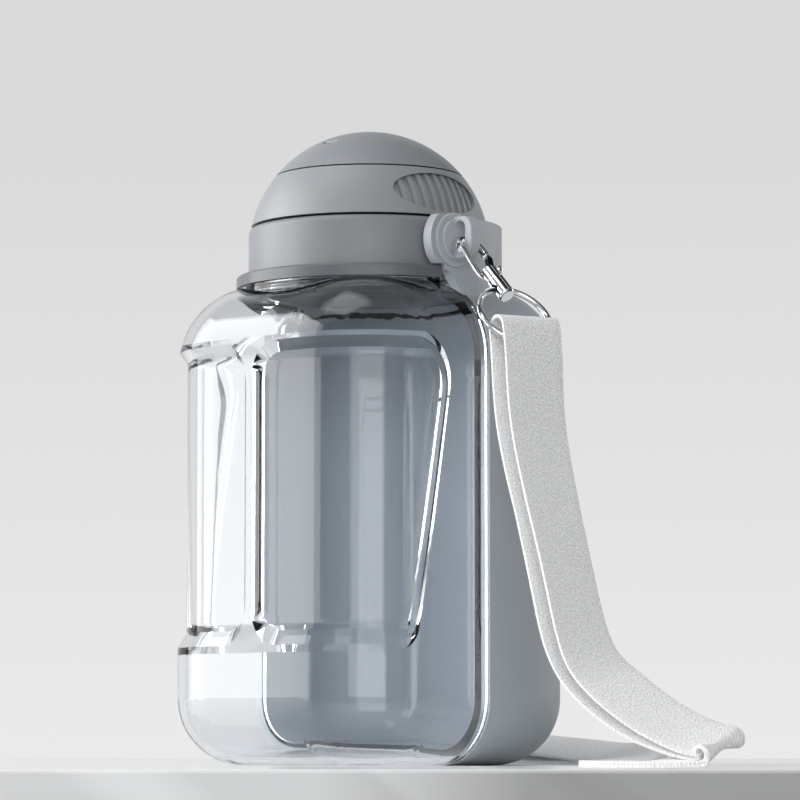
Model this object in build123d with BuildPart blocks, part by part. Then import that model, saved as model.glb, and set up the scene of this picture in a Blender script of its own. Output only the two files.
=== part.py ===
from build123d import *
import os
from math import atan2, cos, degrees, radians, sin, sqrt

# Pet travel bottle: a clear square bottle with two grip windows, a bowl shell that
# hugs its rear half, a screw lid with a domed flip cover, and a wrist strap on a snap hook.
# Millimetres, +Z up, origin at the middle of the base, clear front towards -Y,
# strap ear towards +X.

# Bottle body
body_width = 103.0
body_depth = 106.0
plan_radius = 31.5
base_radius = 21.0
shoulder_radius = 25.5
shoulder_height = 152.5
bottle_wall = 2.2
neck_radius = 35.0
neck_wall = 2.8
neck_top = 167.4
neck_step_radius = 41.5

# Grip windows in the clear front half
window_low = 37.0
window_high = 131.5
window_depth = 5.4
low_ramp = 9.0
high_ramp = 7.5
window_end_high = -14.0
window_end_low = -31.0
window_end_radius_high = 15.0
window_end_radius_low = 8.0
front_rib_root = 8.0
front_rib_crest = 3.0
rib_corner = 8.0
rib_crest_corner = 11.0
lip_round = 3.0

# Bowl shell on the rear half
shell_wall = 2.4
shell_gap = 0.4
seam_gap = 0.3
seam_y = 1.1
collar_gap = 0.6
band_wall = 3.3
ear_y = -5.2
ear_z = 163.6
ear_radius = 10.3
ear_neck_front = -9.0
ear_neck_low = 144.0

# Strap loop on the ear
boss_step = 1.0
boss_radii = (8.6, 6.6)
boss_round = 0.6
loop_reach = 7.5
loop_bar = 3.0
loop_height = 13.2
loop_centre = 164.0
loop_corner = 4.5
loop_thickness = 4.2
loop_round = 0.55
loop_hole_height = 7.9
loop_hole_centre = 165.0

# Screw lid
collar_radius = 38.7
collar_wall = 2.2
collar_low = 152.1
collar_high = 171.4
collar_edge = 2.0
bezel_width = 3.3
bezel_low = 151.7
bezel_high = 155.6
bezel_edge = 1.0
thread_gap = 0.4
deck_thickness = 2.0
deck_drop = 0.4
spout_reach = 17.0
spout_radius = 8.0
spout_bore = 5.5
spout_height = 5.0
vent_reach = 20.0
vent_radius = 2.6

# Domed flip cover
lid_turn = -4.0
dome_low = 172.0
dome_sink = 8.0
dome_radius = 38.7
dome_wall = 3.0
dome_seam = 187.9
seam_line = 0.5
liner_low = 177.6
liner_thickness = 1.5
cap_skirt = 3.0
slot_length = 5.6
slot_width = 1.6
slot_place = (1.3, -18.9)
grip_width = 34.0
grip_height = 13.0
grip_centre = 179.6
grip_depth = 1.7
grip_ribs = 9
grip_rib_width = 1.5
grip_rib_low = 0.7
hinge_reach = 40.3
hinge_height = 174.4
hinge_barrel = 1.9
hinge_pin_radius = 0.9
hinge_fit = 0.05
knuckle_width = 7.0
lug_width = 4.5
lug_gap = 0.3
lug_wall = 0.9
lug_proud = 0.2

# Snap hook, along a line that leans out and down from the ear
hook_lean = 46.3
hook_wire = 1.3
hook_seat = 0.65
hook_bow = 4.8
hook_bow_drop = 4.6
hook_tip = 7.0
hook_shank_in = 1.0
hook_base_start = 14.5
hook_base_end = 18.9
hook_base_radius = 2.6
swivel_start = 19.2
swivel_end = 26.3
swivel_radius = 2.8
swivel_pin_radius = 0.9
rivet_sink = 2.2
ring_eye = 23.1
ring_eye_radius = 1.5
gate_width = 2.0
gate_thickness = 1.6
gate_pin_radius = 0.6
gate_tip_gap = 0.3
gate_travel = 20.0
knob_radius = 1.5
knob_neck = 0.8
knob_rise = 2.0
knob_reach = 4.6
seat_gap = 0.3

# Ring and webbing
hang_turn = -17.0
ring_radius = 11.8
ring_wire = 0.95
ring_slope = 49.0
strap_width = 20.0
strap_thickness = 1.4
ply_gap = 6.8
hold_share = 0.07
fold_slack = 0.2
strap_end_radius = 2.6
table_gap = 1.05
tail_gap = 2.25
foot_height = 2.85
foot_reach = 102.0
fold_tilt = 14.0
run_tilt = 5.0
drop_lean = 0.2
drop_points = ((6.4, 108.0), (17.0, 80.0), (29.3, 52.5), (41.0, 28.6), (57.5, 16.7), (78.0, 10.0))
run_points = ((101.0, 2.0), (80.0, 30.0), (66.0, 55.0), (44.0, 72.0), (16.0, 80.0), (-14.0, 80.0))
drop_steps = 17
turn_steps = 8
run_steps = 19

# Worked out from the sizes above
body_gap = shell_wall + shell_gap
rib_low = window_low + low_ramp
rib_high = window_high - high_ramp
dome_centre = dome_low - dome_sink
deck_high = collar_high - deck_drop
deck_low = deck_high - deck_thickness
insert_radius = collar_radius - collar_wall
insert_bore = neck_radius + thread_gap
band_bore = collar_radius + collar_gap
band_radius = band_bore + band_wall
lid_plane = Plane.XY.rotated((0, 0, lid_turn))
lid_side = Plane(origin=(0, 0, 0), x_dir=lid_plane.x_dir, z_dir=-lid_plane.y_dir)


def dome_reach(height, inset=0.0):
    """Radius of the dome's sphere at a height, drawn in by inset."""
    return sqrt((dome_radius - inset) ** 2 - (height - dome_centre) ** 2)


def body_block(inset):
    """The bottle's rounded outer form, drawn in by inset on every side."""
    with BuildPart() as block:
        with BuildSketch(Plane.XY.offset(inset)):
            RectangleRounded(body_width - 2 * inset, body_depth - 2 * inset, plan_radius - inset)
        extrude(amount=shoulder_height - 2 * inset)
        fillet(block.edges().group_by(Axis.Z)[-1], shoulder_radius - inset)
        fillet(block.edges().group_by(Axis.Z)[0], base_radius - inset)
    return block.part


def window_cut(inset, grow):
    """Ring of material outside the waist, on the sides and front, that ends on a slant."""
    core_width = body_width - 2 * inset
    core_depth = body_depth - 2 * inset
    with BuildPart() as core:
        with BuildSketch(Plane.XY.offset(window_low + low_ramp - grow)):
            RectangleRounded(core_width, core_depth, plan_radius - inset)
        extrude(amount=window_high - window_low - low_ramp - high_ramp + 2 * grow)
        extrude(core.faces().sort_by(Axis.Z)[-1], amount=high_ramp,
                taper=-degrees(atan2(window_depth, high_ramp)))
        extrude(core.faces().sort_by(Axis.Z)[0], amount=low_ramp,
                taper=-degrees(atan2(window_depth, low_ramp)))
        for height in (window_low + low_ramp - grow, window_high - high_ramp + grow):
            fillet(core.edges().filter_by_position(Axis.Z, height - 0.1, height + 0.1), lip_round)
    with BuildPart() as cut:
        with BuildSketch(Plane.XY.offset(window_low - grow)):
            Rectangle(body_width * 1.5, body_depth * 1.5)
        extrude(amount=window_high - window_low + 2 * grow)
        add(core.part, mode=Mode.SUBTRACT)
        with BuildSketch(Plane.YZ) as side:
            with BuildLine():
                Polyline((-body_depth, window_low - grow), (window_end_low + grow, window_low - grow),
                         (window_end_high + grow, window_high + grow),
                         (-body_depth, window_high + grow), close=True)
            make_face()
            ends = side.vertices().group_by(Axis.X)
            fillet(ends[-1], window_end_radius_high)
            fillet(side.vertices().filter_by_position(Axis.Y, window_low - grow - 0.1, window_low - grow + 0.1)
                   .sort_by(Axis.X)[-1], window_end_radius_low)
        extrude(amount=body_width, both=True, mode=Mode.INTERSECT)
    return cut.part


outer_form = body_block(0)
nested_form = body_block(body_gap)

# Clear bottle: full size in front of the seam, nested behind it, one wall all round
with BuildPart() as front_rib:
    with Locations((0, window_depth / 2 - body_depth / 2, (window_low + window_high) / 2)):
        Box(front_rib_root + 3 * rib_corner, window_depth, window_high - window_low)
    for side in (-1, 1):
        with BuildSketch(Plane.XZ.offset(body_depth / 2 - window_depth)):
            with Locations((side * (front_rib_root / 2 + 2 * rib_corner), (rib_low + rib_high) / 2)):
                RectangleRounded(4 * rib_corner, rib_high - rib_low, rib_corner)
        with BuildSketch(Plane.XZ.offset(body_depth / 2)):
            with Locations((side * (front_rib_crest / 2 + 2 * rib_crest_corner), (window_low + window_high) / 2)):
                RectangleRounded(4 * rib_crest_corner, window_high - window_low, rib_crest_corner)
        loft(ruled=True, mode=Mode.SUBTRACT)
    add(outer_form, mode=Mode.INTERSECT)

front_cavity = body_block(bottle_wall)
rear_cavity = body_block(body_gap + bottle_wall)

with BuildPart() as cavity:
    add(front_cavity)
    with Locations((0, body_depth / 2 + seam_y - bottle_wall, shoulder_height / 2)):
        Box(body_width * 2, body_depth, shoulder_height * 2, mode=Mode.SUBTRACT)
    add(rear_cavity)
    add(window_cut(window_depth + bottle_wall, bottle_wall), mode=Mode.SUBTRACT)
    with BuildSketch(Plane.XY.offset(shoulder_height - shoulder_radius)):
        Circle(neck_radius - neck_wall)
    extrude(amount=shoulder_radius * 2)

with BuildPart() as bottle_body:
    add(outer_form)
    with Locations((0, body_depth / 2 + seam_y, shoulder_height / 2)):
        Box(body_width * 2, body_depth, shoulder_height * 2, mode=Mode.SUBTRACT)
    add(window_cut(window_depth, 0), mode=Mode.SUBTRACT)
    add(front_rib.part)
    add(nested_form)
    with BuildSketch(Plane.XY.offset(shoulder_height - shoulder_radius)):
        Circle(neck_step_radius)
        with Locations((0, body_depth / 2 + ear_neck_front - seam_gap)):
            Rectangle(body_width, body_depth, mode=Mode.SUBTRACT)
    extrude(amount=bezel_low - shoulder_height + shoulder_radius)
    with BuildSketch(Plane.XY.offset(bezel_low)):
        Circle(band_radius)
    extrude(amount=shoulder_radius, mode=Mode.SUBTRACT)
    with BuildSketch(Plane.XY.offset(shoulder_height - shoulder_radius)):
        Circle(neck_radius)
    extrude(amount=neck_top - shoulder_height + shoulder_radius)
    add(cavity.part, mode=Mode.SUBTRACT)

# Bezel on the front of the shoulder, under the screw collar
with BuildPart() as neck_bezel:
    with BuildSketch(Plane.XY.offset(bezel_low)):
        Circle(band_radius)
        Circle(band_bore, mode=Mode.SUBTRACT)
    extrude(amount=bezel_high - bezel_low)
    fillet(neck_bezel.edges().group_by(Axis.Z)[-1].sort_by(SortBy.RADIUS)[-1], bezel_edge)
    with Locations((0, body_depth / 2 + ear_neck_front - seam_gap, bezel_high)):
        Box(body_width, body_depth, shoulder_height, mode=Mode.SUBTRACT)

# Bowl shell: half of the outer form, with a band that hugs the collar and the strap ear
with BuildPart() as shell_band:
    with BuildSketch(Plane.XY.offset(shoulder_height - shoulder_radius)):
        Circle(band_radius)
        with Locations((0, ear_y - ear_radius)):
            Rectangle(2 * band_radius, 2 * (ear_radius - ear_y), align=(Align.CENTER, Align.CENTER))
    extrude(amount=collar_high - shoulder_height + shoulder_radius)
    with BuildSketch(Plane.YZ):
        with BuildLine():
            Polyline((ear_neck_front, collar_high), (ear_neck_front, bezel_high + seam_gap),
                     (seam_y + seam_gap, ear_neck_low), (seam_y + seam_gap, 0), (body_depth, 0),
                     (body_depth, collar_high), close=True)
        make_face()
    extrude(amount=band_radius, both=True, mode=Mode.INTERSECT)
    with BuildSketch(Plane.YZ.offset(band_bore)):
        with Locations((ear_y, ear_z)):
            Circle(ear_radius)
        with Locations((ear_neck_front - ear_radius / 2, bezel_high / 2)):
            Rectangle(ear_radius, bezel_high + 2 * seam_gap, mode=Mode.SUBTRACT)
        with Locations((ear_y, ear_z + ear_radius)):
            Rectangle(2 * ear_radius, 2 * (ear_z + ear_radius - collar_high), mode=Mode.SUBTRACT)
    extrude(amount=band_wall)

# Strap loop: two round steps on the ear and a rounded eye that stands out from them
boss_face = band_radius + boss_step * len(boss_radii)
with BuildPart() as loop_eye:
    with BuildSketch(Plane.XZ.offset(-ear_y)):
        with Locations((boss_face + (loop_reach - band_wall) / 2, loop_centre)):
            RectangleRounded(loop_reach + band_wall, loop_height, loop_corner)
        with Locations((boss_face + (loop_reach - loop_bar) / 2, loop_hole_centre)):
            RectangleRounded(loop_reach - loop_bar, loop_hole_height,
                             (loop_reach - loop_bar) / 2 - 0.05, mode=Mode.SUBTRACT)
    extrude(amount=loop_thickness / 2, both=True)
    fillet(loop_eye.edges().group_by(Axis.Y)[0] + loop_eye.edges().group_by(Axis.Y)[-1], loop_round)

with BuildPart() as strap_loop:
    for step, radius in enumerate(boss_radii):
        with BuildSketch(Plane.YZ.offset(band_radius + step * boss_step)):
            with Locations((ear_y, ear_z)):
                Circle(radius)
        extrude(amount=boss_step)
        fillet(strap_loop.faces().sort_by(Axis.X)[-1].edges(), boss_round)
    add(loop_eye.part)
    with BuildSketch(Plane.YZ.offset(band_radius)):
        Rectangle(body_depth, 2 * body_depth + 2 * ear_z)
    extrude(amount=-band_radius, mode=Mode.SUBTRACT)

shell_hollow = body_block(shell_wall)
front_clearance = body_block(-seam_gap)

with BuildPart() as front_keepout:
    add(front_clearance)
    with Locations((0, body_depth / 2 + seam_y + seam_gap, shoulder_height / 2)):
        Box(body_width * 2, body_depth, shoulder_height * 2, mode=Mode.SUBTRACT)

with BuildPart() as bowl_shell:
    add(outer_form)
    with Locations((0, seam_y + seam_gap - body_depth / 2, shoulder_height / 2)):
        Box(body_width * 2, body_depth, shoulder_height * 2, mode=Mode.SUBTRACT)
    add(shell_band.part)
    add(shell_hollow, mode=Mode.SUBTRACT)
    add(front_keepout.part, mode=Mode.SUBTRACT)
    with BuildSketch(Plane.XY.offset(shoulder_height - shoulder_radius)):
        Circle(band_bore)
        with Locations((0, -body_depth / 2)):
            Rectangle(2 * band_bore, body_depth)
    extrude(amount=shoulder_height, mode=Mode.SUBTRACT)

# Screw lid: outer collar, threaded insert with the deck and spout, and their seals
with BuildPart() as lid_collar:
    with BuildSketch(Plane.XY.offset(collar_low)):
        Circle(collar_radius)
        Circle(insert_radius, mode=Mode.SUBTRACT)
    extrude(amount=collar_high - collar_low)
    fillet(lid_collar.edges().group_by(Axis.Z)[-1].sort_by(SortBy.RADIUS)[-1], collar_edge)
    for side in (-1, 1):
        lug_centre = side * (knuckle_width / 2 + lug_gap + lug_width / 2)
        with BuildSketch(lid_side.offset(lug_centre)):
            with Locations((-hinge_reach, hinge_height)):
                Circle(hinge_barrel)
            with Locations((-collar_radius + lug_wall / 2 - 0.2, (collar_high + hinge_height) / 2 - 1.2)):
                Rectangle(lug_wall, hinge_height - collar_high + 3.2)
            with Locations((-hinge_reach, hinge_height)):
                Circle(hinge_pin_radius, mode=Mode.SUBTRACT)
        extrude(amount=lug_width / 2, both=True)
    with BuildSketch(Plane.XY.offset(collar_low)):
        Circle(band_radius)
        Circle(collar_radius + lug_proud, mode=Mode.SUBTRACT)
    extrude(amount=collar_high - collar_low + lug_gap, mode=Mode.SUBTRACT)

with BuildPart() as lid_insert:
    with BuildSketch(Plane.XY.offset(collar_low)):
        Circle(insert_radius)
    extrude(amount=deck_high - collar_low)
    with BuildSketch(Plane.XY.offset(collar_low)):
        Circle(insert_bore)
    extrude(amount=deck_low - collar_low, mode=Mode.SUBTRACT)
    with Locations(lid_plane.offset(deck_high)):
        with Locations((spout_reach, 0)):
            Cylinder(spout_radius, spout_height, align=(Align.CENTER, Align.CENTER, Align.MIN))
            Hole(spout_bore, depth=spout_height + 2 * deck_thickness)
        with Locations((-vent_reach, 0)):
            Hole(vent_radius / 2, depth=2 * deck_thickness)

with BuildPart() as lid_gasket:
    with BuildSketch(Plane.XY.offset(neck_top)):
        Circle(insert_bore - hinge_fit)
        Circle(neck_radius - neck_wall, mode=Mode.SUBTRACT)
    extrude(amount=deck_low - neck_top)

with BuildPart() as vent_plug:
    with Locations(lid_plane.offset(deck_low)):
        with Locations((-vent_reach, 0)):
            Cylinder(vent_radius / 2, deck_thickness, align=(Align.CENTER, Align.CENTER, Align.MIN))
    with Locations(lid_plane.offset(deck_high)):
        with Locations((-vent_reach, 0)):
            Cylinder(vent_radius, vent_radius / 3, align=(Align.CENTER, Align.CENTER, Align.MIN))

# Flip cover: band with the ribbed thumb grip and the middle hinge knuckle, and the top cap
with BuildPart() as dome_ring:
    with BuildSketch(lid_side):
        with BuildLine():
            outer_low = (dome_reach(dome_low), dome_low)
            outer_high = (dome_reach(dome_seam), dome_seam)
            inner_low = (dome_reach(dome_low, dome_wall), dome_low)
            inner_high = (dome_reach(dome_seam, dome_wall), dome_seam)
            RadiusArc(outer_low, outer_high, -dome_radius)
            Line(outer_high, inner_high)
            RadiusArc(inner_high, inner_low, dome_radius - dome_wall)
            Line(inner_low, outer_low)
        make_face()
    revolve(axis=Axis.Z)
    with BuildSketch(lid_side):
        with Locations((-hinge_reach, hinge_height)):
            Circle(hinge_barrel)
        with Locations((-(hinge_reach + dome_reach(hinge_height, dome_wall)) / 2, hinge_height + 0.3)):
            Rectangle(hinge_reach - dome_reach(hinge_height, dome_wall), 2 * hinge_barrel - 1.0)
        with Locations((-hinge_reach, hinge_height)):
            Circle(hinge_pin_radius + hinge_fit, mode=Mode.SUBTRACT)
    extrude(amount=knuckle_width / 2, both=True)

with BuildPart() as grip_pocket:
    grip_face = Plane(origin=(0, 0, grip_centre), x_dir=lid_plane.y_dir, z_dir=lid_plane.x_dir)
    with BuildSketch(grip_face):
        Ellipse(grip_width / 2, grip_height / 2)
    extrude(amount=dome_radius + grip_depth)
    with Locations((0, 0, dome_centre)):
        Sphere(dome_radius - grip_depth, mode=Mode.SUBTRACT)

with BuildPart() as grip_bars:
    rib_pitch = grip_width / (grip_ribs + 1)
    with BuildSketch(grip_face):
        with GridLocations(rib_pitch, 1, grip_ribs, 1):
            Rectangle(grip_rib_width, grip_height)
    extrude(amount=dome_radius)
    with Locations((0, 0, dome_centre)):
        Sphere(dome_radius - grip_rib_low, mode=Mode.INTERSECT)
    add(grip_pocket.part, mode=Mode.INTERSECT)

with BuildPart() as dome_band:
    add(dome_ring.part)
    add(grip_pocket.part, mode=Mode.SUBTRACT)
    add(grip_bars.part)

with BuildPart() as dome_cap:
    cap_low = dome_seam + seam_line
    with BuildSketch(lid_side):
        with BuildLine():
            apex = (0, dome_centre + dome_radius)
            inner_apex = (0, dome_centre + dome_radius - dome_wall)
            rim = (dome_reach(cap_low), cap_low)
            inner_rim = (dome_reach(cap_low, dome_wall), cap_low)
            RadiusArc(rim, apex, -dome_radius)
            Line(apex, inner_apex)
            RadiusArc(inner_apex, inner_rim, dome_radius - dome_wall)
            Line(inner_rim, rim)
        make_face()
        skirt_radius = dome_reach(dome_seam, dome_wall) - hinge_fit
        with Locations((skirt_radius - dome_wall / 4, cap_low - cap_skirt / 2 + dome_wall / 4)):
            Rectangle(dome_wall / 2, cap_skirt + dome_wall / 2)
    revolve(axis=Axis.Z)
    with Locations(Location((slot_place[0], slot_place[1], dome_centre + dome_radius),
                            (0, 0, degrees(atan2(slot_place[1], slot_place[0])) + 90))):
        Box(slot_length, slot_width, dome_wall * 4, mode=Mode.SUBTRACT)

with BuildPart() as dome_liner:
    with BuildSketch(Plane.XY.offset(liner_low)):
        Circle(dome_reach(liner_low + liner_thickness, dome_wall) - hinge_fit)
    extrude(amount=liner_thickness)

with BuildPart() as spout_plug:
    with Locations(lid_plane.offset(deck_high + spout_height + hinge_fit)):
        with Locations((spout_reach, 0)):
            Cylinder(spout_radius, liner_low - deck_high - spout_height - hinge_fit,
                     align=(Align.CENTER, Align.CENTER, Align.MIN))
            Cylinder(spout_bore - seat_gap, spout_height * 0.7,
                     align=(Align.CENTER, Align.CENTER, Align.MAX))

with BuildPart() as hinge_pin:
    with BuildSketch(lid_side):
        with Locations((-hinge_reach, hinge_height)):
            Circle(hinge_pin_radius)
    extrude(amount=knuckle_width / 2 + lug_gap + lug_width, both=True)

# Snap hook: drawn on a plane whose x runs along +Y and whose y runs out and down
loop_low = loop_hole_centre - loop_hole_height / 2
loop_outer = boss_face + loop_reach - loop_bar
hook_origin = Vector(loop_outer - hook_wire - hook_seat, ear_y, loop_low + hook_wire + hook_seat)
hook_down = Vector(cos(radians(hook_lean)), 0, -sin(radians(hook_lean)))
hook_plane = Plane(origin=hook_origin, x_dir=(0, 1, 0), z_dir=Vector(0, 1, 0).cross(hook_down))
base_plane = Plane(origin=hook_origin, x_dir=(0, 1, 0), z_dir=hook_down)

with BuildPart() as hook_body:
    with BuildSketch(Plane(origin=hook_plane.from_local_coords((hook_bow, hook_bow_drop, 0)),
                           x_dir=hook_plane.x_dir, z_dir=-hook_down)):
        Circle(hook_wire)
    extrude(amount=hook_bow_drop - hook_tip)
    with BuildSketch(Plane(origin=hook_plane.from_local_coords((hook_bow, hook_bow_drop, 0)),
                           x_dir=hook_plane.x_dir, z_dir=-hook_down)):
        Circle(hook_wire)
    revolve(axis=Axis(hook_plane.from_local_coords((0, hook_bow_drop, 0)), hook_plane.z_dir),
            revolution_arc=-180)
    with BuildLine(hook_plane):
        Spline((-hook_bow, hook_bow_drop), (-hook_bow + 0.5, hook_bow_drop + 4.0),
               (-hook_shank_in, hook_base_start + 1.0), tangents=[(0, 1), (0.3, 1)])
    with BuildSketch(Plane(origin=hook_plane.from_local_coords((-hook_bow, hook_bow_drop, 0)),
                           x_dir=hook_plane.x_dir, z_dir=hook_down)):
        Circle(hook_wire)
    sweep()
    with BuildSketch(base_plane.offset(hook_base_start)):
        Circle(hook_base_radius)
    extrude(amount=hook_base_end - hook_base_start)
    chamfer(hook_body.faces().sort_by(Axis(hook_origin, hook_down))[-1].edges(), 0.4)
    with Locations(base_plane.offset(hook_base_end)):
        Hole(swivel_pin_radius + hinge_fit, depth=rivet_sink + seat_gap)

gate_root = (0.9, hook_base_start + 1.2)
gate_tip = (hook_bow, hook_tip + gate_tip_gap + gate_width / 2)
gate_angle = degrees(atan2(gate_tip[1] - gate_root[1], gate_tip[0] - gate_root[0]))
gate_length = sqrt((gate_tip[0] - gate_root[0]) ** 2 + (gate_tip[1] - gate_root[1]) ** 2)

with BuildPart() as gate_room:
    with BuildSketch(hook_plane):
        for turn in (0, gate_travel / 2, gate_travel):
            with Locations(Location(gate_root, gate_angle - turn)):
                with Locations((gate_length / 2, 0)):
                    SlotOverall(gate_length + gate_width + 1.2, gate_width + 1.0)
        with Locations(gate_root):
            Circle(gate_width / 2 + 1.1)
    extrude(amount=gate_thickness / 2 + 0.2, both=True)

with BuildPart() as hook_frame:
    add(hook_body.part)
    add(gate_room.part, mode=Mode.SUBTRACT)
    with BuildSketch(hook_plane):
        with Locations(gate_root):
            Circle(gate_pin_radius)
    extrude(amount=hook_base_radius * 2, both=True, mode=Mode.SUBTRACT)

with BuildPart() as hook_gate:
    with BuildSketch(hook_plane):
        with Locations(Location(gate_root, gate_angle)):
            with Locations((gate_length / 2, 0)):
                SlotOverall(gate_length + gate_width, gate_width)
            Circle(gate_pin_radius + hinge_fit, mode=Mode.SUBTRACT)
    extrude(amount=gate_thickness / 2, both=True)

gate_along = Vector(cos(radians(gate_angle)), sin(radians(gate_angle)), 0)
gate_out = Vector(-sin(radians(gate_angle)), cos(radians(gate_angle)), 0)
knob_root = Vector(*gate_root, 0) + gate_along * knob_reach + gate_out * (gate_width / 2)
with BuildPart() as gate_knob:
    with BuildSketch(Plane(origin=hook_plane.from_local_coords(knob_root),
                           z_dir=hook_plane.from_local_coords(gate_out) - hook_origin)):
        Circle(knob_neck)
    extrude(amount=knob_rise)
    with Locations(hook_plane.from_local_coords(knob_root + gate_out * knob_rise)):
        Sphere(knob_radius)

with BuildPart() as gate_pin:
    with BuildSketch(hook_plane):
        with Locations(gate_root):
            Circle(gate_pin_radius)
    extrude(amount=hook_base_radius - 0.2, both=True)

# Swivel barrel with a cross eye for the ring
hang_out = Vector(cos(radians(hang_turn)), sin(radians(hang_turn)), 0)
hang_across = Vector(-sin(radians(hang_turn)), cos(radians(hang_turn)), 0)
ring_down = hang_out * cos(radians(ring_slope)) - Vector(0, 0, sin(radians(ring_slope)))
eye_centre = hook_origin + hook_down * ring_eye
ring_centre = eye_centre + ring_down * ring_radius
ring_far = eye_centre + ring_down * (2 * ring_radius)

with BuildPart() as swivel_barrel:
    with BuildSketch(base_plane.offset(swivel_start)):
        Circle(swivel_radius)
    extrude(amount=swivel_end - swivel_start)
    fillet(swivel_barrel.faces().sort_by(Axis(hook_origin, hook_down))[-1].edges(), 0.8)
    with Locations(base_plane.offset(swivel_start)):
        Cylinder(swivel_pin_radius, rivet_sink, align=(Align.CENTER, Align.CENTER, Align.MIN),
                 mode=Mode.SUBTRACT)
    with BuildSketch(Plane(origin=eye_centre, z_dir=hang_across)):
        Circle(ring_eye_radius)
    extrude(amount=2 * swivel_radius, both=True, mode=Mode.SUBTRACT)

with BuildPart() as swivel_rivet:
    with BuildSketch(base_plane.offset(hook_base_end - rivet_sink)):
        Circle(swivel_pin_radius)
    extrude(amount=swivel_start - hook_base_end + 2 * rivet_sink)

with BuildPart() as lanyard_ring:
    with BuildLine(Plane(origin=ring_centre, x_dir=hang_across, z_dir=hang_across.cross(ring_down))):
        CenterArc((0, 0), ring_radius, 0, 360)
    with BuildSketch(Plane(origin=ring_centre + hang_across * ring_radius, z_dir=ring_down)):
        Circle(ring_wire)
    sweep()

# Webbing loop: two plies drape over the ring, hang, fold back on the table and run behind
edge_rise = ring_radius - sqrt(ring_radius ** 2 - (strap_width / 2) ** 2)
fold_rise = edge_rise * sin(radians(ring_slope)) - fold_slack
fold_centre = ring_far - hang_out * (edge_rise * cos(radians(ring_slope)) / 2) + Vector(0, 0, fold_rise)
fold_gap = (ply_gap + strap_thickness) / 2
across_heading = hang_turn + 90
foot_high = foot_height + 2 * strap_end_radius


def hang_point(reach, height):
    """Point at a reach along the hang line and a height above the table."""
    return Vector(fold_centre.X, fold_centre.Y, height) + hang_out * reach


def strap_frame(place, along, heading, tilt, gap):
    """Place, direction, across vector and half gap of the two plies at one station."""
    flat = cos(radians(tilt))
    across = Vector(cos(radians(heading)) * flat, sin(radians(heading)) * flat, sin(radians(tilt)))
    along = along.normalized()
    return place, along, (across - along * across.dot(along)).normalized(), gap


drop_course = Spline(
    [hang_point(reach, height) for reach, height in ((0, fold_centre.Z),) + drop_points]
    + [hang_point(foot_reach, foot_high)],
    tangents=[hang_out * drop_lean - Vector(0, 0, 1), hang_out - Vector(0, 0, 0.04)])
run_course = Spline(
    [hang_point(foot_reach, foot_height), hang_point(foot_reach - 30, foot_height)]
    + [Vector(x, y, foot_height) for x, y in run_points],
    tangents=[-hang_out, Vector(-1, 0, 0)])

strap_frames = []
for step in range(drop_steps):
    share = step / (drop_steps - 1)
    strap_frames.append(strap_frame(
        drop_course @ share, drop_course % share, across_heading,
        fold_tilt * max(0, (share - 0.55) / 0.45) ** 2,
        fold_gap + (table_gap - fold_gap) * max(0, (share - hold_share) / (1 - hold_share)) ** 0.8))
for step in range(1, turn_steps):
    angle = 180 * step / turn_steps
    turn_out = hang_point(foot_reach + strap_end_radius * sin(radians(angle)),
                          foot_height + strap_end_radius * (1 + cos(radians(angle))))
    strap_frames.append(strap_frame(
        turn_out, hang_out * cos(radians(angle)) - Vector(0, 0, sin(radians(angle))),
        across_heading, fold_tilt * (1 - step / turn_steps), table_gap))
for step in range(run_steps):
    share = step / (run_steps - 1)
    heading = degrees(atan2((run_course % share).Y, (run_course % share).X)) % 360
    end_share = max(0, (share - 0.8) / 0.2)
    strap_frames.append(strap_frame(
        (run_course @ share) + Vector(0, 0, (tail_gap - table_gap) * end_share),
        run_course % share, heading - 90, -run_tilt * min(1, share / 0.3),
        table_gap + (tail_gap - table_gap) * end_share))

with BuildPart() as outer_ply:
    for place, along, across, gap in strap_frames:
        with BuildSketch(Plane(origin=place + along.cross(across) * gap, x_dir=across, z_dir=along)):
            Rectangle(strap_width, strap_thickness)
    loft()

with BuildPart() as strap_webbing:
    for place, along, across, gap in strap_frames:
        with BuildSketch(Plane(origin=place - along.cross(across) * gap, x_dir=across, z_dir=along)):
            Rectangle(strap_width, strap_thickness)
    loft()
    add(outer_ply.part)
    for turn, (place, along, across, gap) in ((180, strap_frames[0]), (-180, strap_frames[-1])):
        with BuildSketch(Plane(origin=place - along.cross(across) * gap, x_dir=across, z_dir=along)):
            Rectangle(strap_width, strap_thickness)
        revolve(axis=Axis(place, across), revolution_arc=turn)

# Labels and files
os.makedirs("parts", exist_ok=True)
bottle_body.part.label = "bottle_body"
neck_bezel.part.label = "neck_bezel"
bowl_shell.part.label = "bowl_shell"
strap_loop.part.label = "strap_loop"
lid_collar.part.label = "lid_collar"
lid_insert.part.label = "lid_insert"
lid_gasket.part.label = "lid_gasket"
vent_plug.part.label = "vent_plug"
dome_band.part.label = "dome_band"
dome_cap.part.label = "dome_cap"
dome_liner.part.label = "dome_liner"
spout_plug.part.label = "spout_plug"
hinge_pin.part.label = "hinge_pin"
hook_frame.part.label = "hook_frame"
hook_gate.part.label = "hook_gate"
gate_knob.part.label = "gate_knob"
gate_pin.part.label = "gate_pin"
swivel_rivet.part.label = "swivel_rivet"
swivel_barrel.part.label = "swivel_barrel"
lanyard_ring.part.label = "lanyard_ring"
strap_webbing.part.label = "strap_webbing"
export_step(bottle_body.part, "parts/bottle_body.step")
export_step(neck_bezel.part, "parts/neck_bezel.step")
export_step(bowl_shell.part, "parts/bowl_shell.step")
export_step(strap_loop.part, "parts/strap_loop.step")
export_step(lid_collar.part, "parts/lid_collar.step")
export_step(lid_insert.part, "parts/lid_insert.step")
export_step(lid_gasket.part, "parts/lid_gasket.step")
export_step(vent_plug.part, "parts/vent_plug.step")
export_step(dome_band.part, "parts/dome_band.step")
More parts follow.
